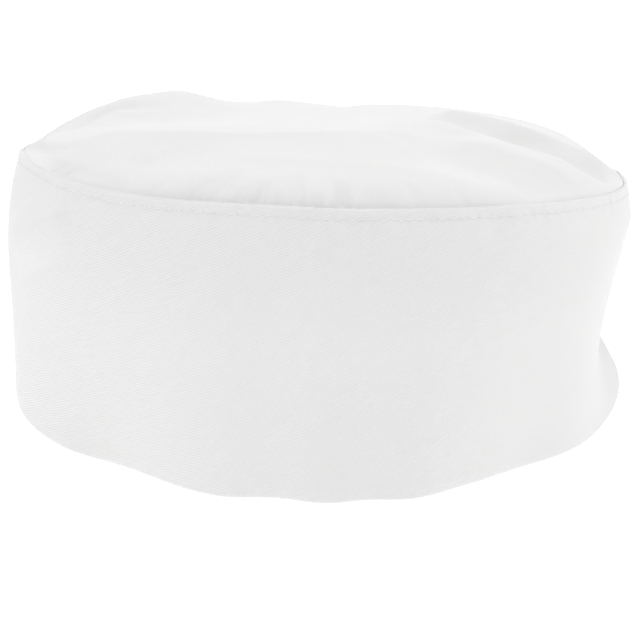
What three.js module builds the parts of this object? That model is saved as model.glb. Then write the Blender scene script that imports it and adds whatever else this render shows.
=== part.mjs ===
// A cook's low round hat: a stiff cloth band, and a soft flat crown sewn in behind the band's top edge.
// Millimetres, +Z up. The hem stands on z = 0. Azimuth 0 is the front (-Y), and it grows towards +X.
import * as THREE from 'three';
import { mergeVertices } from 'three/addons/utils/BufferGeometryUtils.js';

// Cloth, in the two thicknesses that the hat is sewn from
const BAND_WALL = 2.0;          // twill folded double, with its turned edges
const CROWN_WALL = 1.2;         // one layer of twill
const SEAM_GAP = 0.3;           // between the crown and the inside of the band
const SEAM_ALLOWANCE = 6.0;     // the crown's margin, turned down inside the band
const EDGE_ROUNDING = 0.5;      // of the band's folded top edge
const MEAN_RADIUS = 97.0;       // turns azimuths into lengths along the band
const CENTRING = [0, 1.0, 0];   // brings the middle of the whole outline over the origin

// Band: outer radius at the hem, half way up and at the top edge, the height of the top edge, how far the
// crown dips below that edge where the two are sewn together, and how high it rolls up behind the seam
const BAND_SECTIONS = [
  { az: -180, hem: 98.6, middle: 98.4, top: 94.0, height: 70.9, dip: 0.4, roll: 0 },
  { az: -165, hem: 98.2, middle: 98.2, top: 94.0, height: 71.8, dip: 0.4, roll: 0 },
  { az: -152, hem: 99.0, middle: 98.6, top: 94.2, height: 74.0, dip: 0.6, roll: 0 },
  { az: -140, hem: 99.8, middle: 99.0, top: 94.4, height: 76.8, dip: 1.4, roll: 0 },
  { az: -127, hem: 99.4, middle: 98.8, top: 94.0, height: 78.0, dip: 2.6, roll: 0 },
  { az: -112, hem: 99.0, middle: 98.6, top: 93.2, height: 75.6, dip: 2.8, roll: 0 },
  { az: -97, hem: 99.4, middle: 98.6, top: 92.6, height: 73.6, dip: 2.2, roll: 0 },
  { az: -84, hem: 100.0, middle: 98.8, top: 92.4, height: 75.4, dip: 1.8, roll: 0 },
  { az: -72, hem: 100.4, middle: 98.9, top: 92.8, height: 77.6, dip: 2.0, roll: 0.1 },
  { az: -60, hem: 100.9, middle: 98.8, top: 93.6, height: 78.2, dip: 1.8, roll: 0.8 },
  { az: -47, hem: 99.8, middle: 98.2, top: 94.0, height: 77.4, dip: 0.9, roll: 1.2 },
  { az: -33, hem: 96.5, middle: 97.2, top: 94.0, height: 77.1, dip: 1.6, roll: 2.2 },
  { az: -16, hem: 100.5, middle: 98.4, top: 94.0, height: 77.5, dip: 1.9, roll: 2.6 },
  { az: -7, hem: 98.7, middle: 97.0, top: 94.0, height: 77.5, dip: 1.9, roll: 2.6 },
  { az: 1, hem: 100.9, middle: 97.0, top: 94.0, height: 76.9, dip: 1.9, roll: 2.6 },
  { az: 7, hem: 99.9, middle: 97.2, top: 94.0, height: 76.6, dip: 1.9, roll: 2.6 },
  { az: 14, hem: 101.4, middle: 98.2, top: 94.0, height: 76.1, dip: 1.9, roll: 2.6 },
  { az: 23, hem: 98.8, middle: 98.0, top: 94.0, height: 75.2, dip: 1.8, roll: 2.6 },
  { az: 34, hem: 97.5, middle: 97.6, top: 94.0, height: 73.8, dip: 1.7, roll: 2.3 },
  { az: 46, hem: 99.7, middle: 98.2, top: 94.2, height: 71.7, dip: 1.3, roll: 1.3 },
  { az: 60, hem: 99.8, middle: 98.8, top: 95.0, height: 69.2, dip: 0.9, roll: 0.3 },
  { az: 75, hem: 100.4, middle: 99.2, top: 95.6, height: 67.2, dip: 1.0, roll: 0 },
  { az: 87, hem: 100.8, middle: 99.4, top: 94.9, height: 66.5, dip: 1.2, roll: 0 },
  { az: 96, hem: 100.9, middle: 99.3, top: 94.1, height: 65.2, dip: 1.2, roll: 0 },
  { az: 105, hem: 100.6, middle: 99.2, top: 93.6, height: 67.6, dip: 1.0, roll: 0 },
  { az: 120, hem: 99.8, middle: 98.8, top: 94.0, height: 70.5, dip: 0.6, roll: 0 },
  { az: 146, hem: 99.0, middle: 98.6, top: 94.2, height: 71.4, dip: 0.4, roll: 0 },
  { az: 165, hem: 98.8, middle: 98.4, top: 94.0, height: 70.8, dip: 0.4, roll: 0 },
  { az: 174, hem: 98.7, middle: 98.4, top: 94.0, height: 69.6, dip: 0.4, roll: 0 },
];
const LOWER_CURVE = 1.6;        // how the wall leaves the half-way radius towards the hem
const UPPER_CURVE = 2.2;        // and how it draws in to the top edge

// Folds of the band: a crease from one azimuth and height to another, how far it reaches above, below
// and past its ends in mm, and how far it moves the cloth outwards
const BAND_FOLDS = [
  { az1: 82, z1: 22.5, az2: 104, z2: 23.5, above: 35, below: 25, fade: 58, out: -12.0 },
  { az1: -49, z1: 66, az2: -63, z2: 53, above: 9, below: 12, fade: 5, out: 1.1 },
  { az1: -118, z1: 46, az2: -150, z2: 34, above: 24, below: 24, fade: 26, out: -2.2 },
  { az1: 150, z1: 40, az2: 168, z2: 44, above: 24, below: 24, fade: 26, out: -1.8 },
];
const FOLD_ROUNDING = 0.08;     // softens every crease line, as a share of its reach
const FALL_CURVE = 1.4;         // a fold of the crown runs out softly
const FOLD_START = 6.5;         // the crown's folds are whole from this far inside the seam
const GATHER_START = 2.0;       // and its gathers from this far
const ROLL_REACH = 16.0;        // its roll behind the seam is whole from this far
const ROLL_FALL = 3.0;          // and how fast that dies out towards the centre

// Crown: it swells from its edge by this much, and steepest next to the edge
const CROWN_CENTRE = 73.4;
const CROWN_SWELL = 5.4;
const SWELL_CURVE = 0.58;
const EDGE_LIFT_CURVE = 2.4;    // how fast the height of the edge dies out towards the centre

// Folds of the crown: a ridge (or, with a negative lift, a hollow) from x1, y1 to x2, y2, how far it
// reaches to the left and right of that way and past its ends, and its lift
const CROWN_FOLDS = [
  { x1: -58, y1: -23, x2: 21, y2: -29, left: 60, right: 54, fade: 24, lift: 4.6 },
  { x1: -64, y1: 45, x2: -53, y2: 58, left: 24, right: 40, fade: 24, lift: 4.6 },
  { x1: -16, y1: 82, x2: -14, y2: 70, left: 12, right: 12, fade: 12, lift: 0.9 },
  { x1: 2, y1: 86, x2: 8, y2: 66, left: 12, right: 12, fade: 14, lift: -1.5 },
  { x1: -14, y1: -57, x2: 38, y2: -67, left: 28, right: 28, fade: 22, lift: 0.6 },
  { x1: -53, y1: -60, x2: -58, y2: -71, left: 8, right: 9, fade: 8, lift: 1.4 },
];

// Bent folds of the crown: the same, along a line of points
const CREASES = [
  {
    points: [[39.5, -2], [50, -16], [55, -23], [68, -27], [83, -35]],
    left: 11, right: 34, fade: 14, lift: 3.8,
  },
  {
    points: [[49, 3], [60, -8], [70, -14], [83, -24]],
    left: 24, right: 12, fade: 14, lift: -4.6,
  },
  {
    points: [[46, 26], [62, 19], [74, 16], [82, 8]],
    left: 26, right: 20, fade: 14, lift: 1.4,
  },
  {
    points: [[-87, -16], [-80, 0], [-75, 12], [-72, 26]],
    left: 9, right: 24, fade: 12, lift: 2.2,
  },
];

// Gathers of the crown along the front seam: azimuth, reach from the seam, half width and depth
const GATHERS = [
  { az: -20.25, reach: 13, half: 4.2, depth: 1.4 },
  { az: -15.75, reach: 20, half: 3.8, depth: 1.0 },
  { az: -9, reach: 12, half: 4.4, depth: 1.7 },
  { az: -4.5, reach: 17, half: 3.8, depth: 1.1 },
  { az: 4.5, reach: 15, half: 4.6, depth: 1.6 },
  { az: 15.75, reach: 12, half: 3.8, depth: 0.6 },
];

// Mesh: finer steps round the front, where the gathers are
const FRONT_HALF = 54;
const FRONT_STEPS = 48;
const BACK_STEPS = 48;
const BAND_LEVELS = [0, 0.09, 0.18, 0.26, 0.34, 0.44, 0.55, 0.66, 0.76, 0.85, 0.89, 0.93];
const CROWN_RINGS = [1, 0.985, 0.955, 0.915, 0.86, 0.8, 0.73, 0.65, 0.56, 0.46, 0.35, 0.23, 0.11];

const radians = THREE.MathUtils.degToRad;
const lerp = THREE.MathUtils.lerp;

function stations() {
  const list = [];
  for (let i = 0; i < FRONT_STEPS; i += 1) list.push(-FRONT_HALF + (2 * FRONT_HALF * i) / FRONT_STEPS);
  for (let i = 0; i < BACK_STEPS; i += 1) list.push(FRONT_HALF + ((360 - 2 * FRONT_HALF) * i) / BACK_STEPS);
  return list;
}

// Degrees from one azimuth to another, between -180 and 180
function turn(az, from) {
  return ((((az - from + 180) % 360) + 360) % 360) - 180;
}

// A smooth closed curve through one column of a table, its rows in order of azimuth
function closedCurve(rows, column) {
  const count = rows.length;
  const row = (i) => rows[((i % count) + count) % count];
  const azimuth = (i) => row(i).az + 360 * Math.floor(i / count);
  const slope = (i) => (row(i + 1)[column] - row(i - 1)[column]) / (azimuth(i + 1) - azimuth(i - 1));
  return (az) => {
    const a = rows[0].az + ((((az - rows[0].az) % 360) + 360) % 360);
    let i = count - 1;
    while (azimuth(i) > a) i -= 1;
    const span = azimuth(i + 1) - azimuth(i);
    const t = (a - azimuth(i)) / span;
    const ease = t * t * (3 - 2 * t);
    return lerp(row(i)[column], row(i + 1)[column], ease)
      + slope(i) * span * t * (1 - t) ** 2
      - slope(i + 1) * span * t * t * (1 - t);
  };
}

const hemRadius = closedCurve(BAND_SECTIONS, 'hem');
const middleRadius = closedCurve(BAND_SECTIONS, 'middle');
const topRadius = closedCurve(BAND_SECTIONS, 'top');
const topHeight = closedCurve(BAND_SECTIONS, 'height');
const crownDip = closedCurve(BAND_SECTIONS, 'dip');
const crownRoll = closedCurve(BAND_SECTIONS, 'roll');

// 1 on a crease, falling almost straight to 0 at its reach
function creaseFall(distance, reach) {
  const share = Math.min(Math.abs(distance) / reach, 1);
  const soft = Math.sqrt(share * share + FOLD_ROUNDING ** 2) - FOLD_ROUNDING;
  const most = Math.sqrt(1 + FOLD_ROUNDING ** 2) - FOLD_ROUNDING;
  return 1 - soft / most;
}

// The share of a fold that a point gets. The crease runs from one point to another, left is the reach
// on the left-hand side of that way, right on the other, and fade past its two ends.
function foldShare(point, start, end, left, right, fade) {
  const way = end.clone().sub(start);
  const length = way.length();
  way.normalize();
  const arm = point.clone().sub(start);
  const along = arm.dot(way);
  const across = way.cross(arm);
  const past = Math.min(Math.max(-along, along - length, 0) / fade, 1);
  return creaseFall(across, across > 0 ? left : right) * (1 - past * past) ** 2;
}

// The same for a bent fold, which is as strong as the strongest of its stretches
function creaseShare(point, crease) {
  const stops = crease.points.map(([x, y]) => new THREE.Vector2(x, y));
  const shares = stops.slice(1).map((end, i) => (
    foldShare(point, stops[i], end, crease.left, crease.right, crease.fade)));
  return Math.max(...shares);
}

// Outer radius of the band at an azimuth and a height
function bandRadius(az, z) {
  const share = z / topHeight(az);
  const middle = middleRadius(az);
  let radius = share < 0.5
    ? lerp(middle, hemRadius(az), (1 - share / 0.5) ** LOWER_CURVE)
    : lerp(middle, topRadius(az), (share / 0.5 - 1) ** UPPER_CURVE);
  for (const fold of BAND_FOLDS) {
    const centre = (fold.az1 + fold.az2) / 2;
    const flat = (a, height) => new THREE.Vector2(radians(turn(a, centre)) * MEAN_RADIUS, height);
    const start = flat(fold.az1, fold.z1);
    const end = flat(fold.az2, fold.z2);
    const left = end.x > start.x ? fold.above : fold.below;
    const right = end.x > start.x ? fold.below : fold.above;
    radius += fold.out * foldShare(flat(az, z), start, end, left, right, fold.fade);
  }
  return radius;
}

function around(az, radius, z) {
  return new THREE.Vector3(radius * Math.sin(radians(az)), -radius * Math.cos(radians(az)), z);
}

function bandPoint(az, z, inwards) {
  return around(az, bandRadius(az, z) - inwards, z);
}

// Where the crown meets the inside of the band
function crownEdge(az, below) {
  const z = topHeight(az) - crownDip(az) - below;
  return bandPoint(az, z, BAND_WALL + SEAM_GAP);
}

function gatherDepth(az, fromSeam) {
  let depth = 0;
  for (const gather of GATHERS) {
    const side = Math.abs(radians(turn(az, gather.az)) * MEAN_RADIUS) / gather.half;
    const inward = fromSeam / gather.reach;
    const held = Math.min(fromSeam / GATHER_START, 1);
    if (side < 1 && inward < 1) depth += gather.depth * (1 - side * side) ** 2 * (1 - inward) * held;
  }
  return depth;
}

// Upper face of the crown at an azimuth and a share of the way from the centre to the edge
function crownPoint(az, share) {
  const edge = crownEdge(az, 0);
  const point = new THREE.Vector2(edge.x * share, edge.y * share);
  const fromSeam = Math.hypot(edge.x, edge.y) * (1 - share);
  let z = lerp(CROWN_CENTRE, edge.z, share ** EDGE_LIFT_CURVE);
  z += CROWN_SWELL * (1 - share * share) ** SWELL_CURVE;
  const held = Math.min(fromSeam / FOLD_START, 1);
  for (const fold of CROWN_FOLDS) {
    const points = [[fold.x1, fold.y1], [fold.x2, fold.y2]];
    z += fold.lift * creaseShare(point, { ...fold, points }) ** FALL_CURVE * held;
  }
  for (const crease of CREASES) z += crease.lift * creaseShare(point, crease) ** FALL_CURVE * held;
  const turned = 1 - Math.max(1 - fromSeam / ROLL_REACH, 0) ** 2;
  z += crownRoll(az) * turned * share ** ROLL_FALL;
  z -= gatherDepth(az, fromSeam);
  return new THREE.Vector3(point.x, point.y, z);
}

// A closed mesh through a loop of rings. Rings that shrink to a point close the shape there.
function skin(rings) {
  const corners = [];
  const add = (a, b, c) => {
    if (a.equals(b) || b.equals(c) || c.equals(a)) return;
    for (const p of [a, b, c]) corners.push(p.x, p.y, p.z);
  };
  rings.forEach((ring, i) => {
    const next = rings[(i + 1) % rings.length];
    ring.forEach((p, j) => {
      const k = (j + 1) % ring.length;
      add(p, ring[k], next[k]);
      add(p, next[k], next[j]);
    });
  });
  const geometry = new THREE.BufferGeometry();
  geometry.setAttribute('position', new THREE.Float32BufferAttribute(corners, 3));
  const merged = mergeVertices(geometry, 1e-4);
  merged.computeVertexNormals();
  return merged;
}

// The band: up the outside, over the folded top edge, down the inside and across the flat hem
function sideBand() {
  const way = stations();
  const faceTop = (az) => topHeight(az) - EDGE_ROUNDING;
  const ringAt = (share, inwards) => way.map((az) => bandPoint(az, share * faceTop(az), inwards));
  const edgePoint = (az, inwards) => bandPoint(az, faceTop(az), inwards).setZ(topHeight(az));
  const edgeAt = (inwards) => way.map((az) => edgePoint(az, inwards));
  const outside = [...BAND_LEVELS, 1].map((share) => ringAt(share, 0));
  const inside = [1, ...[...BAND_LEVELS].reverse()].map((share) => ringAt(share, BAND_WALL));
  return skin([...outside, edgeAt(EDGE_ROUNDING), edgeAt(BAND_WALL - EDGE_ROUNDING), ...inside]);
}

// The crown: up the outside of its turned-down margin, over to the centre, and back along the inside
function crownTop() {
  const way = stations();
  const margin = (below, inwards) => way.map((az) => {
    const p = crownEdge(az, below);
    const radius = Math.hypot(p.x, p.y) - inwards;
    return around(az, radius, p.z);
  });
  const face = (share, drop) => way.map((az) => crownPoint(az, share).sub(new THREE.Vector3(0, 0, drop)));
  const upper = CROWN_RINGS.map((share) => face(share, 0));
  const under = CROWN_RINGS.slice(1).reverse().map((share) => face(share, CROWN_WALL));
  const centre = crownPoint(0, 0);
  const pole = (drop) => way.map(() => new THREE.Vector3(0, 0, centre.z - drop));
  return skin([
    margin(SEAM_ALLOWANCE, 0),
    margin(SEAM_ALLOWANCE / 2, 0),
    ...upper,
    pole(0),
    pole(CROWN_WALL),
    ...under,
    margin(CROWN_WALL, CROWN_WALL),
    margin(SEAM_ALLOWANCE / 2, CROWN_WALL),
    margin(SEAM_ALLOWANCE, CROWN_WALL),
  ]);
}

function clothPiece(name, geometry, colour) {
  const cloth = new THREE.MeshStandardMaterial({ color: colour, roughness: 0.92, metalness: 0 });
  const mesh = new THREE.Mesh(geometry, cloth);
  mesh.name = name;
  mesh.position.set(...CENTRING);
  return mesh;
}

const hat = new THREE.Group();
hat.name = 'chef_hat';
hat.add(clothPiece('side_band', sideBand(), 0xf3f4f3));
hat.add(clothPiece('crown_top', crownTop(), 0xf6f6f5));

export default hat;
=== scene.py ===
# %% [markdown]
# # A cook's low round hat in white twill
#
# The hat is two pieces of cloth. A stiff band stands upright all the way round, and a soft flat crown is sewn
# in just behind the band's top edge. It stands empty on its hem, so the band has a few dents and the crown has
# the shallow ridges and gathers of cloth that nothing fills.
#
# The imported solids give the size, the place and the main folds. This script makes the cloth itself around them:
# double twill with rolled edges, the seam with its stitches, and the weave.

# %% Load the frame
import math

import bpy
import numpy as np
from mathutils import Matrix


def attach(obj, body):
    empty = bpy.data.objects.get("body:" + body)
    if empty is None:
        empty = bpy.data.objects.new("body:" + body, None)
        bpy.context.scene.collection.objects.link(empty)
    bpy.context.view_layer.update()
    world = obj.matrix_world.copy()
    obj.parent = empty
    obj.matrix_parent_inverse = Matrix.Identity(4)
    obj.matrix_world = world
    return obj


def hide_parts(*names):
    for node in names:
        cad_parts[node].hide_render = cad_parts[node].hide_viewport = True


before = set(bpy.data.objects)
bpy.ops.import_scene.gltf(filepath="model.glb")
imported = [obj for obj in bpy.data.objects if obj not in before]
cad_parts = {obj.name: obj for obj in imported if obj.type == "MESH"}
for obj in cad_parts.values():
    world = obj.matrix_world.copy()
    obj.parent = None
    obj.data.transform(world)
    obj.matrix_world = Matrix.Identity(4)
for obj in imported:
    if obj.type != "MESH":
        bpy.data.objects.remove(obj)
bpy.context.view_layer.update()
bpy.ops.object.select_all(action="DESELECT")
MM = 0.001

# %% [markdown]
# ## Floor, camera and light
#
# The hat was photographed from a little above on a white ground. A camera could be aimed at the hat by eye. Here
# its place comes from the hat's known size instead, so that the band's height, the roundness of the crown and the
# picture's edges all agree at once.

# %% Floor
FLOOR_SIZE = 16.0
bpy.ops.mesh.primitive_plane_add(size=FLOOR_SIZE)
floor = bpy.context.object
floor.name = "studio_floor"
print("floor:", FLOOR_SIZE, "m square")

# %% Camera
CAMERA_PLACE = (0.0000, -0.3730, 0.1500)
CAMERA_DIP = 19.9        # degrees below level
LENS, SENSOR = 66.825, 36.0  # millimetres
bpy.ops.object.camera_add(location=CAMERA_PLACE, rotation=(math.radians(90 - CAMERA_DIP), 0, 0))
camera = bpy.context.object
camera.name = "camera"
camera.data.sensor_width = SENSOR
camera.data.lens = LENS
camera.data.clip_start = 0.01
bpy.context.scene.camera = camera
print("camera", round(-CAMERA_PLACE[1], 3), "m in front, lens", LENS, "mm")

# %% [markdown]
# White cloth on white needs light from every side, or the folds turn grey. The usual answer is a tent of light over
# a white table that glows a little itself. One broad lamp straight above makes level cloth the brightest, so every
# slope of the crown turns a shade darker. Low lamps at both sides and behind light the band, and none stands by the
# camera. So the front of the band is the darkest part and its sides turn lighter.

# %% Sky
SKY = 0.03
world = bpy.data.worlds.new("light_tent")
bpy.context.scene.world = world
world.use_nodes = True
world.node_tree.nodes["Background"].inputs["Color"].default_value = (1, 1, 1, 1)
world.node_tree.nodes["Background"].inputs["Strength"].default_value = SKY
print("sky", SKY)

# %% Lamps
LAMPS = [  # name, azimuth and height it shines from, strength, softness in degrees
    ("overhead", 0, 90, 2.40, 35),
    ("left_front", -60, 18, 0.51, 45),
    ("right_front", 60, 18, 0.48, 45),
    ("left_side", -90, 18, 0.29, 45),
    ("right_side", 108, 14, 0.62, 45),
    ("rear", 180, 18, 1.27, 45),
]
for name, from_az, from_height, strength, softness in LAMPS:
    bpy.ops.object.light_add(type="SUN", location=(0, 0, 1))
    lamp = bpy.context.object
    lamp.name = name
    lamp.rotation_euler = (math.radians(90 - from_height), 0, math.radians(from_az))
    lamp.data.energy = strength
    lamp.data.angle = math.radians(softness)
print(len(LAMPS), "soft lamps")

# %% Plain view
view = bpy.context.scene.view_settings
view.view_transform = "Standard"
view.look = "None"
view.exposure = 0.0
view.gamma = 1.0
print("view", view.view_transform)

# %% [markdown]
# ## The measures of the cloth
#
# Everything below is in millimetres until it is placed. The band is described as a tailor would: at a number of
# places round the head, how far out the cloth is at the hem, half way up and at the top edge, how high that edge
# stands, and how far the crown lies below that edge where the two are sewn. Azimuth 0 is the front, and it grows
# towards the right. The solids began from these numbers, so the cloth lies where they are, with finer forms on top.

# %% Band measures
BAND_COLUMNS = ("az", "hem", "middle", "top", "height", "dip")
BAND_SECTIONS = np.array([
    (-180, 98.6, 98.4, 94.0, 70.9, 0.4),
    (-165, 98.2, 98.2, 94.0, 71.8, 0.4),
    (-152, 99.0, 98.6, 94.2, 74.0, 0.6),
    (-140, 99.8, 99.0, 94.4, 76.8, 1.4),
    (-127, 99.4, 98.8, 94.0, 78.0, 2.6),
    (-112, 99.0, 98.6, 93.2, 75.6, 2.8),
    (-97, 99.4, 98.6, 92.6, 73.6, 2.2),
    (-84, 100.0, 98.8, 92.4, 75.4, 1.8),
    (-72, 100.4, 98.9, 92.8, 77.6, 2.0),
    (-60, 100.9, 98.8, 93.6, 78.2, 1.8),
    (-47, 99.8, 98.2, 94.0, 77.4, 0.9),
    (-33, 96.5, 97.2, 94.0, 77.1, 1.6),
    (-16, 100.5, 98.4, 94.0, 77.5, 1.9),
    (-7, 98.7, 97.0, 94.0, 77.5, 1.9),
    (1, 100.9, 97.0, 94.0, 76.9, 1.9),
    (7, 99.9, 97.2, 94.0, 76.6, 1.9),
    (14, 101.4, 98.2, 94.0, 76.1, 1.9),
    (23, 98.8, 98.0, 94.0, 75.2, 1.8),
    (34, 97.5, 97.6, 94.0, 73.8, 1.7),
    (46, 99.7, 98.2, 94.2, 71.7, 1.3),
    (60, 99.8, 98.8, 95.0, 69.2, 0.9),
    (75, 100.4, 99.2, 95.6, 67.2, 1.0),
    (87, 100.8, 99.4, 94.9, 66.5, 1.2),
    (96, 100.9, 99.3, 94.1, 65.2, 1.2),
    (105, 100.6, 99.2, 93.6, 67.6, 1.0),
    (120, 99.8, 98.8, 94.0, 70.5, 0.6),
    (146, 99.0, 98.6, 94.2, 71.4, 0.4),
    (165, 98.8, 98.4, 94.0, 70.8, 0.4),
    (174, 98.7, 98.4, 94.0, 69.6, 0.4),
])
MEAN_RADIUS = 97.0       # turns azimuths into lengths along the band
CENTRING = (0.0, 1.0)    # brings the middle of the whole outline over the origin
BAND_WALL = 2.0
LOWER_CURVE, UPPER_CURVE = 1.6, 2.2  # how late the wall bends on its way to the hem and to the top edge
print(len(BAND_SECTIONS), "places measured round the band")

# %% [markdown]
# A closed curve has to run smoothly through each column. A spline object could do it, but a few lines of arithmetic
# give the same curve as the solids have: each place leans the way its two neighbours point, and the cloth eases
# from one to the next.


# %% Smooth closed curves
def eased(share):
    return share * share * (3 - 2 * share)


def closed_curve(column):
    places = BAND_SECTIONS[:, 0]
    values = BAND_SECTIONS[:, BAND_COLUMNS.index(column)]
    az = np.concatenate([places[-1:] - 360, places, places[:2] + 360])
    value = np.concatenate([values[-1:], values, values[:2]])
    slope = (value[2:] - value[:-2]) / (az[2:] - az[:-2])

    def curve(angle):
        a = places[0] + (np.asarray(angle, float) - places[0]) % 360
        i = np.searchsorted(places, a, side="right") - 1
        span = az[i + 2] - az[i + 1]
        t = (a - az[i + 1]) / span
        step = (value[i + 2] - value[i + 1]) * eased(t)
        bend = slope[i] * span * t * (1 - t) ** 2 - slope[i + 1] * span * t * t * (1 - t)
        return value[i + 1] + step + bend

    return curve


hem_radius, middle_radius, top_radius = (closed_curve(c) for c in ("hem", "middle", "top"))
top_height, crown_dip = closed_curve("height"), closed_curve("dip")
print("the top edge stands", round(float(top_height(0)), 1), "mm high at the front and",
      round(float(top_height(180)), 1), "mm at the back")

# %% [markdown]
# A fold in cloth is a line that stands out or in, with the cloth falling away almost straight on both sides. It
# could be pushed with a sculpting brush. A small table of lines is easier to correct: where each fold starts and
# ends, how far it reaches on either side, and how far it moves the cloth.

# %% Folds
FOLD_ROUNDING = 0.08     # how blunt a fold's line is, as a share of its reach
BAND_FOLDS = [  # azimuth and height of both ends, reach above and below, reach past the ends, how far out
    (82, 22.5, 104, 23.5, 35, 25, 58, -12.0),
    (-47.5, 69, -61, 57, 9, 12, 5, 1.6),
    (-118, 46, -150, 34, 24, 24, 26, -2.2),
    (150, 40, 168, 44, 24, 24, 26, -1.8),
]


def turn(az, start):
    return (az - start + 180) % 360 - 180


def crease_fall(distance, reach):
    share = np.minimum(np.abs(distance) / reach, 1)
    soft = np.sqrt(share ** 2 + FOLD_ROUNDING ** 2) - FOLD_ROUNDING
    return 1 - soft / (math.sqrt(1 + FOLD_ROUNDING ** 2) - FOLD_ROUNDING)


def fold_share(x, y, start, end, left, right, fade):
    length = math.hypot(end[0] - start[0], end[1] - start[1])
    way = ((end[0] - start[0]) / length, (end[1] - start[1]) / length)
    along = (x - start[0]) * way[0] + (y - start[1]) * way[1]
    across = way[0] * (y - start[1]) - way[1] * (x - start[0])
    past = np.minimum(np.maximum(np.maximum(-along, along - length), 0) / fade, 1)
    return crease_fall(across, np.where(across > 0, left, right)) * (1 - past ** 2) ** 2


print(len(BAND_FOLDS), "folds in the band")

# %% [markdown]
# The curves and the folds together say how far out the cloth is at any place and height. Along the front the band
# also bends inwards near its top edge. All of it is kept in one function, because the strip, the crown and the
# stitches all have to ask for the same surface.

# %% Where the band's cloth is
HALF_WAY = 0.5           # the share of the height where the middle is measured
LEAN, LEAN_REACH = 1.4, 24.0  # the inward bend at the top edge, and how far down it begins
LEAN_ENDS = (50, 75)     # between these azimuths on either side it dies out


def lean(az, below):
    gone = np.clip((np.abs(turn(az, 0)) - LEAN_ENDS[0]) / (LEAN_ENDS[1] - LEAN_ENDS[0]), 0, 1)
    return LEAN * np.clip(1 - below / LEAN_REACH, 0, 1) ** 2 * (1 - eased(gone))


def band_radius(az, z):
    share = np.clip(z / top_height(az), 0, 1)
    middle = middle_radius(az)
    low = middle + (hem_radius(az) - middle) * np.clip(1 - share / HALF_WAY, 0, 1) ** LOWER_CURVE
    high = middle + (top_radius(az) - middle) * np.clip(share / HALF_WAY - 1, 0, 1) ** UPPER_CURVE
    radius = np.where(share < HALF_WAY, low, high) - lean(az, top_height(az) - z)
    for az1, z1, az2, z2, above, below, fade, out in BAND_FOLDS:
        centre = (az1 + az2) / 2
        flat = [np.radians(turn(a, centre)) * MEAN_RADIUS for a in (az, az1, az2)]
        left, right = (above, below) if flat[2] > flat[1] else (below, above)
        radius = radius + out * fold_share(flat[0], z, (flat[1], z1), (flat[2], z2), left, right, fade)
    return radius


def placed(az, radius, z):
    a = np.radians(az)
    return np.stack([radius * np.sin(a) + CENTRING[0], CENTRING[1] - radius * np.cos(a), z], axis=-1) * MM


print("band at the front, half way up:", round(float(band_radius(0.0, 38.0)), 1), "mm out")

# %% [markdown]
# ## The band
#
# The real band is a long strip of twill folded double, so both its edges are soft rolls and not cut edges. It could
# be a tube with a wall added by a modifier, but then the rolls and the stitched groove would have to be cut in
# afterwards. Here the strip is a flat grid instead. Its short side is the whole way round the section: up the
# outside, over the rolled top edge, down the inside and under the rolled hem. Then it is rolled into a ring.

# %% The section that the strip follows
ROLL, HEM_ROLL = 0.5, 1.0  # heights of the two rolled edges, above and below
EDGE_WALL = 1.2          # the two layers pressed flat at the top edge
PRESSED = 6.0            # and how far down from it they open out
DRAWN_HEIGHT = 75.0      # the height that the section is drawn at
SEAM_ZONE = 9.0          # this near to the top edge, every level keeps its distance from it
OUTSIDE_STEPS, INSIDE_STEPS = (0.38, 1.09, 1.5), (0.9, 1.5, 5.0)  # the first step, its growth, the largest
ROLL_STEPS = 7


def levels(first, growth, most):
    drops, step = [ROLL], first
    while drops[-1] + step < DRAWN_HEIGHT - HEM_ROLL:
        drops.append(drops[-1] + step)
        step = min(step * growth, most) if drops[-1] > SEAM_ZONE / 2 else step
    return np.array(drops[:-1] + [DRAWN_HEIGHT - HEM_ROLL])


def wall_at(below):
    share = np.clip(below / PRESSED, 0, 1)
    return EDGE_WALL + (BAND_WALL - EDGE_WALL) * eased(share)


outside = levels(*OUTSIDE_STEPS)[::-1]
inside = levels(*INSIDE_STEPS)
bend = np.linspace(0, math.pi, ROLL_STEPS + 1)[1:-1]
section = np.array(  # distance below the edge, 0 outside to 1 inside, rise of the roll
    [(drop, 0.0, 0.0) for drop in outside]
    + [(ROLL, 0.5 - 0.5 * math.cos(a), ROLL * math.sin(a)) for a in bend]
    + [(drop, 1.0, 0.0) for drop in inside]
    + [(DRAWN_HEIGHT - HEM_ROLL, 0.5 + 0.5 * math.cos(a), -HEM_ROLL * math.sin(a)) for a in bend]
    + [(outside[0], 0.0, 0.0)]
)
steps = np.diff(np.stack([section[:, 1] * BAND_WALL, section[:, 2] - section[:, 0]], axis=-1), axis=0)
girth = np.concatenate([[0.0], np.cumsum(np.hypot(steps[:, 0], steps[:, 1]))])
print(len(section), "rows in the section,", round(girth[-1], 1), "mm of cloth round it")

# %% [markdown]
# Close to the seam the cloth is held by the thread. The stitches pull a shallow groove into it, and short puckers
# run down from it where the crown was eased in. The larger puckers are where the real hat shows them, and fine
# ones lie between them, from a fixed list of random numbers.

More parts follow.
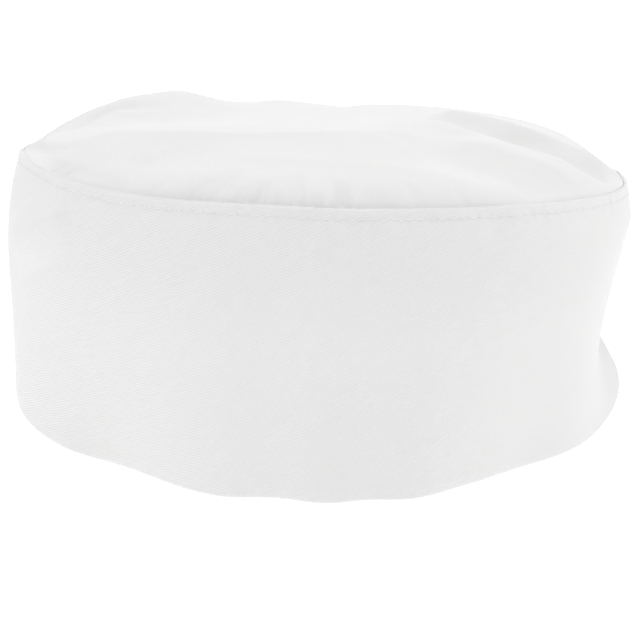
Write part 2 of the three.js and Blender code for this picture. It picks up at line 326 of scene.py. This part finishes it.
# %% What the thread does to the band
STITCH_DEPTH = 2.4       # below the top edge
GROOVE_HALF, GROOVE_DEPTH = 0.7, 0.02
PUCKER_START, PUCKER_FALL = 3.0, 1.5  # how far below the edge they have grown, and how fast they run out
PUCKERS = [  # azimuth, length, half width, out
    (-30.0, 15, 4.2, -0.50), (-24.0, 13, 3.2, -0.42), (-19.0, 15, 3.4, 0.36), (-13.0, 9, 2.6, -0.22),
    (-8.5, 11, 3.0, 0.20), (-2.5, 9, 2.8, -0.22), (4.0, 10, 3.0, -0.22), (9.5, 9, 2.4, 0.16),
    (21.0, 14, 3.6, 0.36), (28.0, 14, 3.4, -0.55), (33.5, 9, 2.6, 0.20), (39.0, 9, 2.8, -0.20),
    (-36.0, 9, 3.0, 0.22), (-42.0, 8, 2.6, -0.18),
]
fine = np.random.default_rng(7)
FINE_PUCKERS = 120
FINE_LENGTH, FINE_HALF, FINE_OUT = (4, 8), (1.1, 1.9), (0.10, 0.32)
for k in range(FINE_PUCKERS):
    place = 360 * (k + fine.uniform(0.1, 0.9)) / FINE_PUCKERS - 180
    PUCKERS.append((place, fine.uniform(*FINE_LENGTH), fine.uniform(*FINE_HALF),
                    fine.choice([-1, 1]) * fine.uniform(*FINE_OUT)))


def pucker_relief(az, below):
    relief = np.zeros(np.broadcast(az, below).shape)
    for place, length, half, out in PUCKERS:
        side = np.radians(turn(az, place)) * MEAN_RADIUS / half
        far = np.clip(below / length, 0, 1)
        held = np.clip(below / PUCKER_START, 0, 1)
        relief += out * np.exp(-side ** 2) * (1 - far) ** PUCKER_FALL * held
    return relief


def band_relief(az, below, side):
    groove = GROOVE_DEPTH * np.exp(-((below - STITCH_DEPTH) / GROOVE_HALF) ** 2)
    return (pucker_relief(az, below) - groove) * (1 - side) + groove * side


print(len(PUCKERS), "puckers along the seam")

# %% [markdown]
# The strip's two ends meet in one plain upright seam at the centre of the back. The photograph shows no closure, so
# none is made there. The seam is a fine groove with slightly raised sides.

# %% The join at the centre back
JOIN_HALF, JOIN_DEPTH = 0.6, 0.45
JOIN_SIDE, JOIN_SIDE_HALF, JOIN_RIDGE = 2.2, 1.5, 0.22  # place, half width and height of the raised sides


def join_relief(az):
    side = np.abs(np.radians(turn(az, 180.0))) * MEAN_RADIUS
    raised = JOIN_RIDGE * np.exp(-((side - JOIN_SIDE) / JOIN_SIDE_HALF) ** 2)
    return raised - JOIN_DEPTH * np.exp(-(side / JOIN_HALF) ** 2)


print("join groove", JOIN_DEPTH, "mm deep")

# %% [markdown]
# The grid tool makes the strip and its flat pattern space in one go. A bend modifier would roll it, but it can't
# follow the dents. So the corners are moved with arithmetic on whole arrays, and the two ends are welded after that.

# %% Make the strip and roll it
STRIP_STEPS = 960


def edit(obj):
    bpy.ops.object.select_all(action="DESELECT")
    obj.select_set(True)
    bpy.context.view_layer.objects.active = obj
    bpy.ops.object.mode_set(mode="EDIT")


def corners(mesh):
    co = np.empty(len(mesh.vertices) * 3)
    mesh.vertices.foreach_get("co", co)
    return co.reshape(-1, 3)


def move_corners(mesh, co):
    mesh.vertices.foreach_set("co", np.ascontiguousarray(co, float).ravel())
    mesh.update()


bpy.ops.mesh.primitive_grid_add(x_subdivisions=STRIP_STEPS, y_subdivisions=len(section) - 1, size=1, calc_uvs=True)
band = bpy.context.object
band.name = band.data.name = "band_cloth"
flat = corners(band.data) + 0.5
az = flat[:, 0] * 360 - 180
row = np.rint(flat[:, 1] * (len(section) - 1)).astype(int)
print("flat strip:", len(band.data.polygons), "faces")

# %% The strip's own pattern space, in metres along and across the cloth
uv = np.empty(len(band.data.loops) * 2)
band.data.uv_layers.active.data.foreach_get("uv", uv)
uv = uv.reshape(-1, 2)
across = np.rint(uv[:, 1] * (len(section) - 1)).astype(int)
uv[:, 0] *= 2 * math.pi * MEAN_RADIUS * MM
uv[:, 1] = girth[across] * MM
band.data.uv_layers.active.name = "cloth"
band.data.uv_layers.active.data.foreach_set("uv", uv.ravel())
print("cloth", [round(x, 4) for x in uv.max(0)], "m")

# %% Roll it round the head
WELD = 1e-6              # metres
drop, side, lift = section[row, 0], section[row, 1], section[row, 2]
height = top_height(az)
squeeze = (height - SEAM_ZONE - HEM_ROLL) / (DRAWN_HEIGHT - SEAM_ZONE - HEM_ROLL)
level = height - np.minimum(drop, SEAM_ZONE) - np.maximum(drop - SEAM_ZONE, 0) * squeeze
z = level + lift
relief = band_relief(az, height - z, side) + join_relief(az) * (1 - 2 * side)
radius = band_radius(az, z) - wall_at(height - z) * side + relief
move_corners(band.data, placed(az, radius, z))

edit(band)
bpy.ops.mesh.select_all(action="SELECT")
bpy.ops.mesh.remove_doubles(threshold=WELD)
bpy.ops.mesh.normals_make_consistent(inside=False)
bpy.ops.object.mode_set(mode="OBJECT")
bpy.ops.object.shade_smooth()
print("band:", len(band.data.vertices), "corners,", round(2 * len(band.data.polygons) / 1000), "thousand triangles")

# %% [markdown]
# ## The crown
#
# The crown is one round of cloth whose margin is turned down inside the band. A circle with spokes would crowd its
# middle with thin triangles. A square grid that is pushed out into a disc, ring by ring, keeps the faces even all
# over, and its edge is then drawn down for the margin.

# %% Crown measures
CROWN_WALL = 1.2
SEAM_GAP = 0.3           # between the band and the margin that is turned down inside it
SEAM_ALLOWANCE = 6.0     # the height of that margin
CROWN_CENTRE, CROWN_SWELL = 73.4, 5.4  # the middle without its swell, and the swell
SWELL_CURVE, EDGE_LIFT_CURVE = 0.58, 2.4  # how flat the dome is, and how late it turns to the edge's height
FOLD_START, GATHER_START, RIDGE_START = 6.5, 1.2, 1.5  # full height this far from the seam
CREST_ROUND = 0.07       # how blunt the crests of the large folds are
FALL_CURVE = 1.4         # a fold of the crown runs out softly
CROWN_FOLDS = [  # both ends, reach to the left and the right, reach past the ends, lift
    (-58, -23, 21, -29, 60, 54, 24, 5.0),
    (-64, 45, -53, 58, 24, 40, 24, 4.6),
    (-16, 82, -14, 70, 12, 12, 12, 0.9),
    (2, 86, 8, 66, 12, 12, 14, -1.5),
    (-14, -57, 38, -67, 28, 28, 22, 0.6),
    (-54, -63, -58, -71, 9, 9, 12, 0.5),
]
CREASES = [  # bent folds: points, reach to the left and the right, reach past the ends, lift
    ([(39.5, -2), (50, -17), (55, -25), (67, -31.5)], 14, 34, 20, 3.8),
    ([(59, -6), (66, -11), (72, -15), (80, -21)], 24, 12, 16, -4.6),
    ([(46, 26), (62, 19), (76, 12), (87, 2)], 26, 15, 14, 3.3),
    ([(-87, -16), (-80, 0), (-75, 12), (-72, 26)], 7, 24, 12, 3.3),
]
GATHERS = [  # azimuth, reach, half width, depth
    (-54.0, 5, 1.7, 0.9), (-49.5, 5, 1.7, 0.9), (-36.0, 7, 2.2, 0.5), (-29.0, 8, 2.6, 0.8), (-20.7, 11, 3.0, 1.9),
    (-16.8, 21, 3.4, 1.5), (-13.0, 8, 2.2, 1.8), (-9.9, 11, 2.6, 2.5), (-7.1, 7, 2.0, 1.4), (-4.0, 17, 3.0, 1.7),
    (-0.8, 7, 2.6, 1.9), (3.3, 15, 3.4, 2.5), (9.3, 8, 7.0, 1.8), (15.8, 12, 3.2, 0.8), (24.0, 8, 3.0, 0.5),
]
RIDGES = [  # the finer shape of the crests, in the same order
    ([(-55, -24), (-42, -27), (-14, -31), (12, -28), (21, -27)], 5.5, 7, 12, 0.45),
    ([(-15, -57), (8, -61), (18, -64), (38, -67)], 6, 7, 12, 0.15),
    ([(-47, -48), (-57, -68), (-60, -74)], 4, 4, 12, 0.60),
    ([(46, -29), (55, -38), (66, -45)], 15, 32, 15, 2.00),
]


def gather_depth(az, from_seam):
    depth = np.zeros(np.shape(az))
    for place, reach, half, deep in GATHERS:
        side = np.minimum(np.abs(np.radians(turn(az, place))) * MEAN_RADIUS / half, 1)
        inward = np.minimum(from_seam / reach, 1)
        depth += deep * (1 - side ** 2) ** 2 * (1 - inward) * np.minimum(from_seam / GATHER_START, 1)
    return depth


def ridge_share(x, y, points, left, right, fade):
    shares = [fold_share(x, y, a, b, left, right, fade) for a, b in zip(points, points[1:])]
    return np.max(shares, axis=0)


print(len(CROWN_FOLDS), "folds,", len(RIDGES), "ridges and", len(GATHERS), "gathers in the crown")

# %% [markdown]
# Right behind the band's edge the crown's cloth comes up between the pressed layers, and the thread draws it down
# into a gutter. At the sides and the back the gutter is broad and shallow. Along the front the cloth is tucked
# deeper, which gives the dark crease of the real hat, and behind the crease it rolls up again. A table says how
# that changes on the way round.

# %% Where the crown's cloth is
SEAM_COLUMNS = ("az", "tuck", "roll", "gutter")  # how deep it comes out, how high it rolls up, the gutter's width
SEAM_SHAPE = np.array([
    (-180, -0.1, 0.0, 12), (-120, -0.1, 0.0, 15), (-96, -0.1, 0.0, 14), (-84, 0.4, 0.0, 12), (-66, 0.4, 0.1, 7),
    (-58, 0.9, 0.4, 4), (-51, 0.9, 0.4, 4), (-47, 0.4, 0.3, 6), (-41, 0.4, 0.4, 6), (-37, 1.3, 1.3, 4),
    (-32, 2.2, 2.8, 4), (-24, 2.4, 4.8, 4), (12, 2.3, 4.8, 4), (27, 2.2, 4.2, 4), (33, 1.4, 2.8, 4),
    (39, 0.5, 1.6, 5), (47, 0.4, 0.7, 8), (60, 0.4, 0.2, 10), (84, 0.4, 0.0, 12), (98, -0.1, 0.0, 14),
    (180, -0.1, 0.0, 12),
])
ROLL_REACHES = (6.0, 18.0)  # the roll's short steep rise and its long easy one
ROLL_SHARES = (0.3, 0.7)    # how much of its height each of them makes
ROLL_FALL = 2.2             # how fast the roll sinks again towards the middle
EDGE_GAP = 0.05             # what is left of the seam's gap at the top edge


def seam_shape(az, column):
    return np.interp(turn(az, 0), SEAM_SHAPE[:, 0], SEAM_SHAPE[:, SEAM_COLUMNS.index(column)])


def crown_edge(az):
    z = top_height(az) - crown_dip(az)
    return band_radius(az, z) - BAND_WALL - SEAM_GAP, z


def margin_edge(az, share):
    tuck = seam_shape(az, "tuck")
    z = top_height(az) - tuck - (SEAM_ALLOWANCE + crown_dip(az) - tuck) * share
    gap = EDGE_GAP + (SEAM_GAP - EDGE_GAP) * share
    return band_radius(az, z) - wall_at(top_height(az) - z) - gap, z


def crown_height(az, share):
    radius, edge = crown_edge(az)
    a = np.radians(az)
    x, y = radius * share * np.sin(a), -radius * share * np.cos(a)
    from_seam = radius * (1 - share)
    z = CROWN_CENTRE + (edge - CROWN_CENTRE) * share ** EDGE_LIFT_CURVE
    z += CROWN_SWELL * (1 - share ** 2) ** SWELL_CURVE
    held = np.minimum(from_seam / FOLD_START, 1)
    for x1, y1, x2, y2, left, right, fade, up in CROWN_FOLDS:
        part = 1 - np.sqrt((1 - fold_share(x, y, (x1, y1), (x2, y2), left, right, fade)) ** 2 + CREST_ROUND ** 2)
        z += up * np.clip(part, 0, 1) ** FALL_CURVE * held
    for rows, start in ((CREASES, FOLD_START), (RIDGES, RIDGE_START)):
        for points, left, right, fade, up in rows:
            part = ridge_share(x, y, points, left, right, fade)
            z += up * part ** FALL_CURVE * np.minimum(from_seam / start, 1)
    tuck, roll, gutter = (seam_shape(az, column) for column in SEAM_COLUMNS[1:])
    z += (crown_dip(az) - tuck) * np.clip(1 - from_seam / gutter, 0, 1) ** 2
    steep, easy = (np.clip(1 - from_seam / reach, 0, 1) ** 2 for reach in ROLL_REACHES)
    z += roll * (ROLL_SHARES[0] * np.sqrt(1 - steep) + ROLL_SHARES[1] * (1 - easy)) * share ** ROLL_FALL
    return z - gather_depth(az, from_seam)


print("crown at its middle:", round(float(crown_height(np.zeros(1), np.zeros(1))[0]), 1), "mm high")

# %% Make the round
CROWN_CELLS = 176
CROWN_RADIUS = 93.0      # of the cut cloth, to where it turns down
EDGE_STEP, MIDDLE_STEP = 0.35, 2.0  # the rings lie closer together near the seam
MARGIN_STEPS = [0.15, 0.35, 0.7, 1.0, 1.2, 1.3, 1.3]  # together as long as the margin

bpy.ops.mesh.primitive_grid_add(x_subdivisions=CROWN_CELLS, y_subdivisions=CROWN_CELLS, size=2, calc_uvs=True)
crown = bpy.context.object
crown.name = crown.data.name = "crown_cloth"
edit(crown)
bpy.ops.mesh.select_all(action="DESELECT")
bpy.ops.mesh.select_mode(type="EDGE")
bpy.ops.mesh.select_non_manifold()
for step in MARGIN_STEPS:
    bpy.ops.mesh.extrude_region_move(TRANSFORM_OT_translate={"value": (0, 0, -step)})
bpy.ops.object.mode_set(mode="OBJECT")
print("round with its margin:", len(crown.data.polygons), "faces")

# %% Push the square out into a disc
square = corners(crown.data)
x, y = square[:, 0], square[:, 1]
ring = np.maximum(np.abs(x), np.abs(y))
wide = np.abs(x) >= np.abs(y)
slant = np.where(wide, y, x) / np.where(ring == 0, 1, np.where(wide, x, y))
angle = np.where(wide, slant * math.pi / 4, math.pi / 2 - slant * math.pi / 4)
angle += np.where(np.where(wide, x, y) < 0, math.pi, 0)
crown_az = np.degrees(angle) + 90
rings = CROWN_CELLS // 2
spacing = np.linspace(MIDDLE_STEP, EDGE_STEP, rings)
reach = np.concatenate([[0], np.cumsum(spacing)])
share = np.interp(ring * rings, np.arange(rings + 1), reach / reach[-1])
below = -np.minimum(square[:, 2], 0)
print("rings:", rings, "from", round(spacing[0] / reach[-1] * CROWN_RADIUS, 2), "to",
      round(spacing[-1] / reach[-1] * CROWN_RADIUS, 2), "mm apart")

# %% [markdown]
# The round gets its pattern space while it is still flat, as the cloth lay when it was cut. Then every corner takes
# its place: those of the face from the crown's height, those of the margin along the inside of the band. The
# Solidify modifier gives the cloth its second face, on the inner side, so the outer one stays where it was shaped.

# %% The crown's own pattern space
run = share * CROWN_RADIUS + below
pattern = np.stack([run * np.sin(np.radians(crown_az)), -run * np.cos(np.radians(crown_az))], axis=-1) * MM
loops = np.empty(len(crown.data.loops), int)
crown.data.loops.foreach_get("vertex_index", loops)
crown.data.uv_layers.active.name = "cloth"
crown.data.uv_layers.active.data.foreach_set("uv", pattern[loops].ravel())
print("cut", round(2 * run.max(), 1), "mm across")

# %% Shape it, and give it its thickness
edge_radius, edge_z = margin_edge(crown_az, below / SEAM_ALLOWANCE)
on_face = below == 0
face_radius = margin_edge(crown_az, 0)[0] * share
radius = np.where(on_face, face_radius, edge_radius)
z = np.where(on_face, crown_height(crown_az, share), edge_z)
move_corners(crown.data, placed(crown_az, radius, z))

edit(crown)
bpy.ops.mesh.select_all(action="SELECT")
bpy.ops.mesh.normals_make_consistent(inside=False)
bpy.ops.object.mode_set(mode="OBJECT")
middle = min(crown.data.polygons, key=lambda p: p.center.x ** 2 + p.center.y ** 2)
if middle.normal.z < 0:
    crown.data.flip_normals()
wall = crown.modifiers.new("wall", "SOLIDIFY")
wall.thickness = CROWN_WALL * MM
wall.offset = -1
bpy.ops.object.modifier_apply(modifier="wall")
bpy.ops.object.shade_smooth()
print("crown:", round(2 * len(crown.data.polygons) / 1000), "thousand triangles")

# %% [markdown]
# ## The stitches
#
# One row of lockstitch runs round the band just below its edge, through the band and the crown's margin, so it
# shows outside and again inside. One stitch is modelled lying flat, repeated by an Array modifier in a straight
# row, and the row is then rolled round the band by the same measures as the cloth.

# %% One stitch and its row
STITCHES = 200
STITCH_LENGTH, THREAD = 2.5, 0.28
RAISED = 0.02            # the middle of the thread lies this far off the cloth
INNER_DEPTH = 4.6        # inside it comes out through the crown's margin, lower down
pitch = 2 * math.pi * MEAN_RADIUS / STITCHES


def stitch_row(name, outer):
    bpy.ops.mesh.primitive_uv_sphere_add(segments=8, ring_count=6, radius=0.5, rotation=(0, math.pi / 2, 0))
    thread = bpy.context.object
    thread.name = thread.data.name = name
    thread.scale = (THREAD, THREAD, STITCH_LENGTH)
    bpy.ops.object.transform_apply(location=True, rotation=True, scale=True)
    repeat = thread.modifiers.new("row", "ARRAY")
    repeat.count = STITCHES
    repeat.use_relative_offset = False
    repeat.use_constant_offset = True
    repeat.constant_offset_displace = (pitch, 0, 0)
    bpy.ops.object.modifier_apply(modifier="row")
    co = corners(thread.data)
    az = np.degrees((co[:, 0] + pitch / 2) / MEAN_RADIUS) - 180
    below = (STITCH_DEPTH if outer else INNER_DEPTH) + co[:, 2]
    z = top_height(az) - below
    if outer:
        out = band_radius(az, z) + band_relief(az, below, 0) + co[:, 1] + RAISED
    else:
        out = band_radius(az, z) - BAND_WALL - SEAM_GAP - CROWN_WALL + co[:, 1] - RAISED
    move_corners(thread.data, placed(az, out, z))
    bpy.ops.object.shade_smooth()
    return thread


outer_stitches = stitch_row("edge_stitches", True)
inner_stitches = stitch_row("inner_stitches", False)
print(STITCHES, "stitches in a row,", round(pitch, 2), "mm apart,", len(outer_stitches.data.polygons), "faces")

# %% [markdown]
# ## The finishes
#
# The cloth is bleached cotton twill. Its threads make fine raised lines that rise to the right on the band, about
# two thirds of a millimetre apart. On the crown the same cloth was cut another way round, so the lines run from
# front to back. An image of cloth would repeat and blur. The weave is worked out here instead from the cloth's
# own pattern space, so it follows every fold. Its colour is darker in the valleys between the raised lines, which is
# painted shade, and it also varies at random, as the cloth's own tone does.

# %% Helpers for shader nodes
def made(tree, kind, settings=None, **sockets):
    node = tree.nodes.new(kind)
    for name, value in (settings or {}).items():
        setattr(node, name, value)
    for name, value in sockets.items():
        feed(tree, node.inputs[name.replace("_", " ")], value)
    return node


def feed(tree, socket, value):
    if isinstance(value, bpy.types.NodeSocket):
        tree.links.new(value, socket)
    else:
        socket.default_value = value


def maths(tree, operation, *values):
    node = tree.nodes.new("ShaderNodeMath")
    node.operation = operation
    for socket, value in zip(node.inputs, values):
        feed(tree, socket, value)
    return node.outputs[0]


def blend(tree, factor, first, second, blend_type="MIX"):
    node = made(tree, "ShaderNodeMix", {"data_type": "RGBA", "blend_type": blend_type}, Factor=factor)
    feed(tree, node.inputs["A"], first)
    feed(tree, node.inputs["B"], second)
    return node.outputs["Result"]


def new_finish(name, **constants):
    finish = bpy.data.materials.new(name)
    finish.use_nodes = True
    shader = finish.node_tree.nodes["Principled BSDF"]
    for socket, value in constants.items():
        shader.inputs[socket.replace("_", " ")].default_value = value
    return finish, finish.node_tree, shader


print("helpers ready")

# %% Twill
TWILL_PITCH = 0.66       # between two raised lines
FLOAT_LENGTH = 0.5       # of a thread where it lies on top of the others
STAGGER = 0.5            # each line's threads begin half a step further on
THREAD_CUT = 0.25        # how much lower a raised line is between two threads
DRIFT, FUZZ, CLOUD = 0.09, 2.6, 0.035  # sizes, as patches per millimetre
SLUBS = (0.16, 2.4, 1.0)  # thick threads: long one way, thin the other
# How far each pattern moves the colour. The weave's share is painted shade in the valleys between raised lines; fuzz,
# slubs and cloud are the cloth's own uneven tone.
WEAVE_SHADE, FUZZ_TONE, SLUB_TONE, CLOUD_TONE = 0.62, 0.30, 0.16, 0.14
FUZZ_RELIEF, RELIEF_STRENGTH = 0.5, 0.6


def twill_weave(tree, place, rise):
    split = made(tree, "ShaderNodeSeparateXYZ", Vector=place)
    u, v = split.outputs["X"], split.outputs["Y"]
    cosine, sine = math.cos(math.radians(rise)), math.sin(math.radians(rise))
    across = maths(tree, "SUBTRACT", maths(tree, "MULTIPLY", v, cosine), maths(tree, "MULTIPLY", u, sine))
    along = maths(tree, "ADD", maths(tree, "MULTIPLY", u, cosine), maths(tree, "MULTIPLY", v, sine))
    drift = made(tree, "ShaderNodeTexNoise", Vector=place, Scale=DRIFT, Detail=1.0).outputs["Fac"]
    cycles = maths(tree, "ADD", maths(tree, "DIVIDE", across, TWILL_PITCH), drift)
    beats = maths(tree, "MULTIPLY_ADD", along, 1 / FLOAT_LENGTH, maths(tree, "MULTIPLY", cycles, STAGGER))
    ridge, thread = (
        maths(tree, "MULTIPLY_ADD", maths(tree, "SINE", maths(tree, "MULTIPLY", wave, 2 * math.pi)), 0.5, 0.5)
        for wave in (cycles, beats))
    return maths(tree, "MULTIPLY", ridge, maths(tree, "MULTIPLY_ADD", thread, THREAD_CUT, 1 - THREAD_CUT))


def twill(name, rise, pale, deep, relief_depth):
    finish, tree, shader = new_finish(
        name, Roughness=0.88, Specular_IOR_Level=0.25, Sheen_Weight=0.12, Sheen_Roughness=0.45)
    cloth = made(tree, "ShaderNodeUVMap", {"uv_map": "cloth"}).outputs["UV"]
    place = made(tree, "ShaderNodeVectorMath", {"operation": "SCALE"}, Scale=1 / MM, Vector=cloth).outputs["Vector"]
    woven = twill_weave(tree, place, rise)
    fuzz = made(tree, "ShaderNodeTexNoise", Vector=place, Scale=FUZZ, Detail=3.0, Roughness=0.6).outputs["Fac"]
    drawn = made(tree, "ShaderNodeMapping", Vector=place, Scale=SLUBS).outputs["Vector"]
    slubs = made(tree, "ShaderNodeTexNoise", Vector=drawn, Scale=1.0, Detail=2.0).outputs["Fac"]
    cloud = made(tree, "ShaderNodeTexNoise", Vector=place, Scale=CLOUD, Detail=2.0).outputs["Fac"]
    # Painted shade in the weave's valleys, plus the cloth's own uneven tone from fuzz, slubs and cloud.
    weave_shade_and_tone = maths(tree, "MULTIPLY_ADD", fuzz, FUZZ_TONE, maths(tree, "MULTIPLY", woven, WEAVE_SHADE))
    weave_shade_and_tone = maths(tree, "MULTIPLY_ADD", slubs, SLUB_TONE, weave_shade_and_tone)
    weave_shade_and_tone = maths(tree, "MULTIPLY_ADD", cloud, CLOUD_TONE, weave_shade_and_tone)
    feed(tree, shader.inputs["Base Color"], blend(tree, weave_shade_and_tone, (*deep, 1), (*pale, 1)))
    relief = maths(tree, "MULTIPLY_ADD", fuzz, FUZZ_RELIEF, woven)
    bump = made(tree, "ShaderNodeBump", Height=relief, Distance=relief_depth, Strength=RELIEF_STRENGTH)
    feed(tree, shader.inputs["Normal"], bump.outputs["Normal"])
    return finish


band_twill = twill("bleached_band_twill", 23.3, (0.838, 0.838, 0.836), (0.776, 0.776, 0.774), 0.00006)
crown_twill = twill("bleached_crown_twill", 99.5, (0.811, 0.811, 0.809), (0.781, 0.781, 0.779), 0.00003)
print("two twills,", TWILL_PITCH, "mm between their lines")

# %% [markdown]
# Seen from a step away, a row of white stitches on white cloth shows as a row of small dark dots: the shade in the
# needle's holes, where each stitch dives in. Cutting 200 holes would cost many faces for something under a millimetre
# wide. The band's colour is darkened there instead with painted shade, at the stitches' own spacing, in the same
# pattern space.

# %% Painted shade in the needle holes
# The holes' darkness is painted shade laid into the band's colour.
HOLE_LONG, HOLE_TALL, HOLE_SHADE = 0.45, 0.30, 0.10  # half length, half height and darkness
HOLE_SHADE_COLOUR = (0.1, 0.1, 0.1, 1)
UNEVEN, UNEVEN_RANGE = 120.0, (3.0, -1.0)  # some holes show more than others, and some hardly at all
hole_row = float(np.interp(STITCH_DEPTH, outside[::-1], girth[:len(outside)][::-1]))


def needle_hole_shade(finish):
    tree = finish.node_tree
    colour = tree.nodes["Principled BSDF"].inputs["Base Color"]
    cloth = made(tree, "ShaderNodeUVMap", {"uv_map": "cloth"}).outputs["UV"]
    split = made(tree, "ShaderNodeSeparateXYZ", Vector=cloth)
    beat = maths(tree, "FRACT", maths(tree, "MULTIPLY_ADD", split.outputs["X"], 1 / (pitch * MM), 0.5))
    along = maths(tree, "MULTIPLY", maths(tree, "SUBTRACT", beat, 0.5), pitch / HOLE_LONG)
    off = maths(tree, "MULTIPLY_ADD", split.outputs["Y"], 1 / (HOLE_TALL * MM), -hole_row / HOLE_TALL)
    far = maths(tree, "ADD", maths(tree, "MULTIPLY", along, along), maths(tree, "MULTIPLY", off, off))
    hole = maths(tree, "POWER", math.exp(-1), far)
    uneven = made(tree, "ShaderNodeTexNoise", Vector=cloth, Scale=UNEVEN, Detail=1.0).outputs["Fac"]
    depth = maths(tree, "MULTIPLY_ADD", uneven, *UNEVEN_RANGE)
    shade = maths(tree, "MULTIPLY", hole, maths(tree, "MULTIPLY", depth, HOLE_SHADE))
    feed(tree, colour, blend(tree, shade, colour.links[0].from_socket, HOLE_SHADE_COLOUR, "MULTIPLY"))


needle_hole_shade(band_twill)
print("holes", round(hole_row, 2), "mm up the cloth")

# %% [markdown]
# Sewing thread is smoother than twill and twisted from finer threads, so it gets a diagonal wave and a little more
# shine. The floor is white paper that glows a little. Lit by the lamps alone it would come out greyer than the
# photograph's ground, and stronger lamps would wash out the folds of the hat.

# %% Sewing thread
TWIST, TWIST_DEPTH = 900.0, 0.00003
sewn, tree, shader = new_finish("sewing_thread", Roughness=0.6, Specular_IOR_Level=0.4, Sheen_Weight=0.1)
spun = made(tree, "ShaderNodeTexWave", {"wave_type": "BANDS", "bands_direction": "DIAGONAL"},
            Vector=made(tree, "ShaderNodeTexCoord").outputs["Object"], Scale=TWIST, Distortion=1.0)
shade = blend(tree, spun.outputs["Fac"], (0.74, 0.74, 0.74, 1), (0.82, 0.82, 0.82, 1))
feed(tree, shader.inputs["Base Color"], shade)
ply = made(tree, "ShaderNodeBump", Height=spun.outputs["Fac"], Distance=TWIST_DEPTH, Strength=0.5)
feed(tree, shader.inputs["Normal"], ply.outputs["Normal"])
print("thread finished")

# %% Studio floor
FLOOR_GLOW = 1.14
ground, tree, shader = new_finish("studio_paper", Roughness=0.9, Specular_IOR_Level=0.0,
                                  Emission_Color=(1, 1, 1, 1), Emission_Strength=FLOOR_GLOW)
grain = made(tree, "ShaderNodeTexNoise", Vector=made(tree, "ShaderNodeTexCoord").outputs["Object"], Scale=60.0)
paper = blend(tree, grain.outputs["Fac"], (0.39, 0.39, 0.39, 1), (0.41, 0.41, 0.41, 1))
feed(tree, shader.inputs["Base Color"], paper)
print("floor finished")

# %% Put the finishes on
for piece, finish in [(band, band_twill), (crown, crown_twill), (outer_stitches, sewn),
                      (inner_stitches, sewn), (floor, ground)]:
    piece.data.materials.clear()
    piece.data.materials.append(finish)
print("finishes:", [m.name for m in bpy.data.materials if m.users])

# %% [markdown]
# ## Joining the frame
#
# The cloth stands for the two imported solids, and all of it belongs to the one body.

# %% Attach each piece to the body and hide the solids
for piece in (band, crown, outer_stitches, inner_stitches):
    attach(piece, "root")
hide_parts("side_band")
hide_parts("crown_top")
